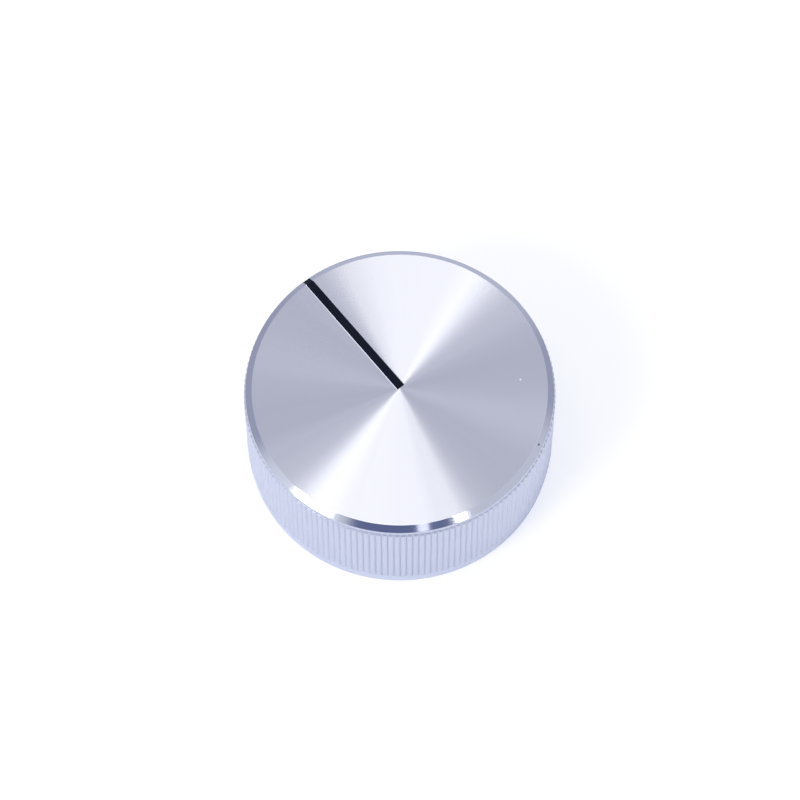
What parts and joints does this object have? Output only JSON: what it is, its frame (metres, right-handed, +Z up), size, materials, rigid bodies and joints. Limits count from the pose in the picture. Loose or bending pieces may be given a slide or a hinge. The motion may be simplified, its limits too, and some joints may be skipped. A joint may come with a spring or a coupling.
{
  "type": "knurled control knob",
  "caption": "Round turned aluminium control knob with a straight-knurled rim, bright chamfer, spun top, black pointer line and a blind shaft bore held by a set screw.",
  "frame": {"origin": "centre of the underside, on the knob's axis, in the plane of the rim that the knob stands on", "axes": "+Z up along the knob's axis to the spun top face, +Y from the axis along the pointer line, and the set screw lies under the line"},
  "size_m": [0.04, 0.04, 0.017],
  "materials": {
    "anodised_aluminium": "clear anodised, spun top, knurled rim, bright cut chamfer",
    "black_enamel": "black enamel fill, satin",
    "black_steel": "black oxide, oiled"
  },
  "bodies": {
    "root": {"knob_body": "anodised_aluminium", "pointer_line": "black_enamel", "set_screw": "black_steel"}
  },
  "joints": []
}
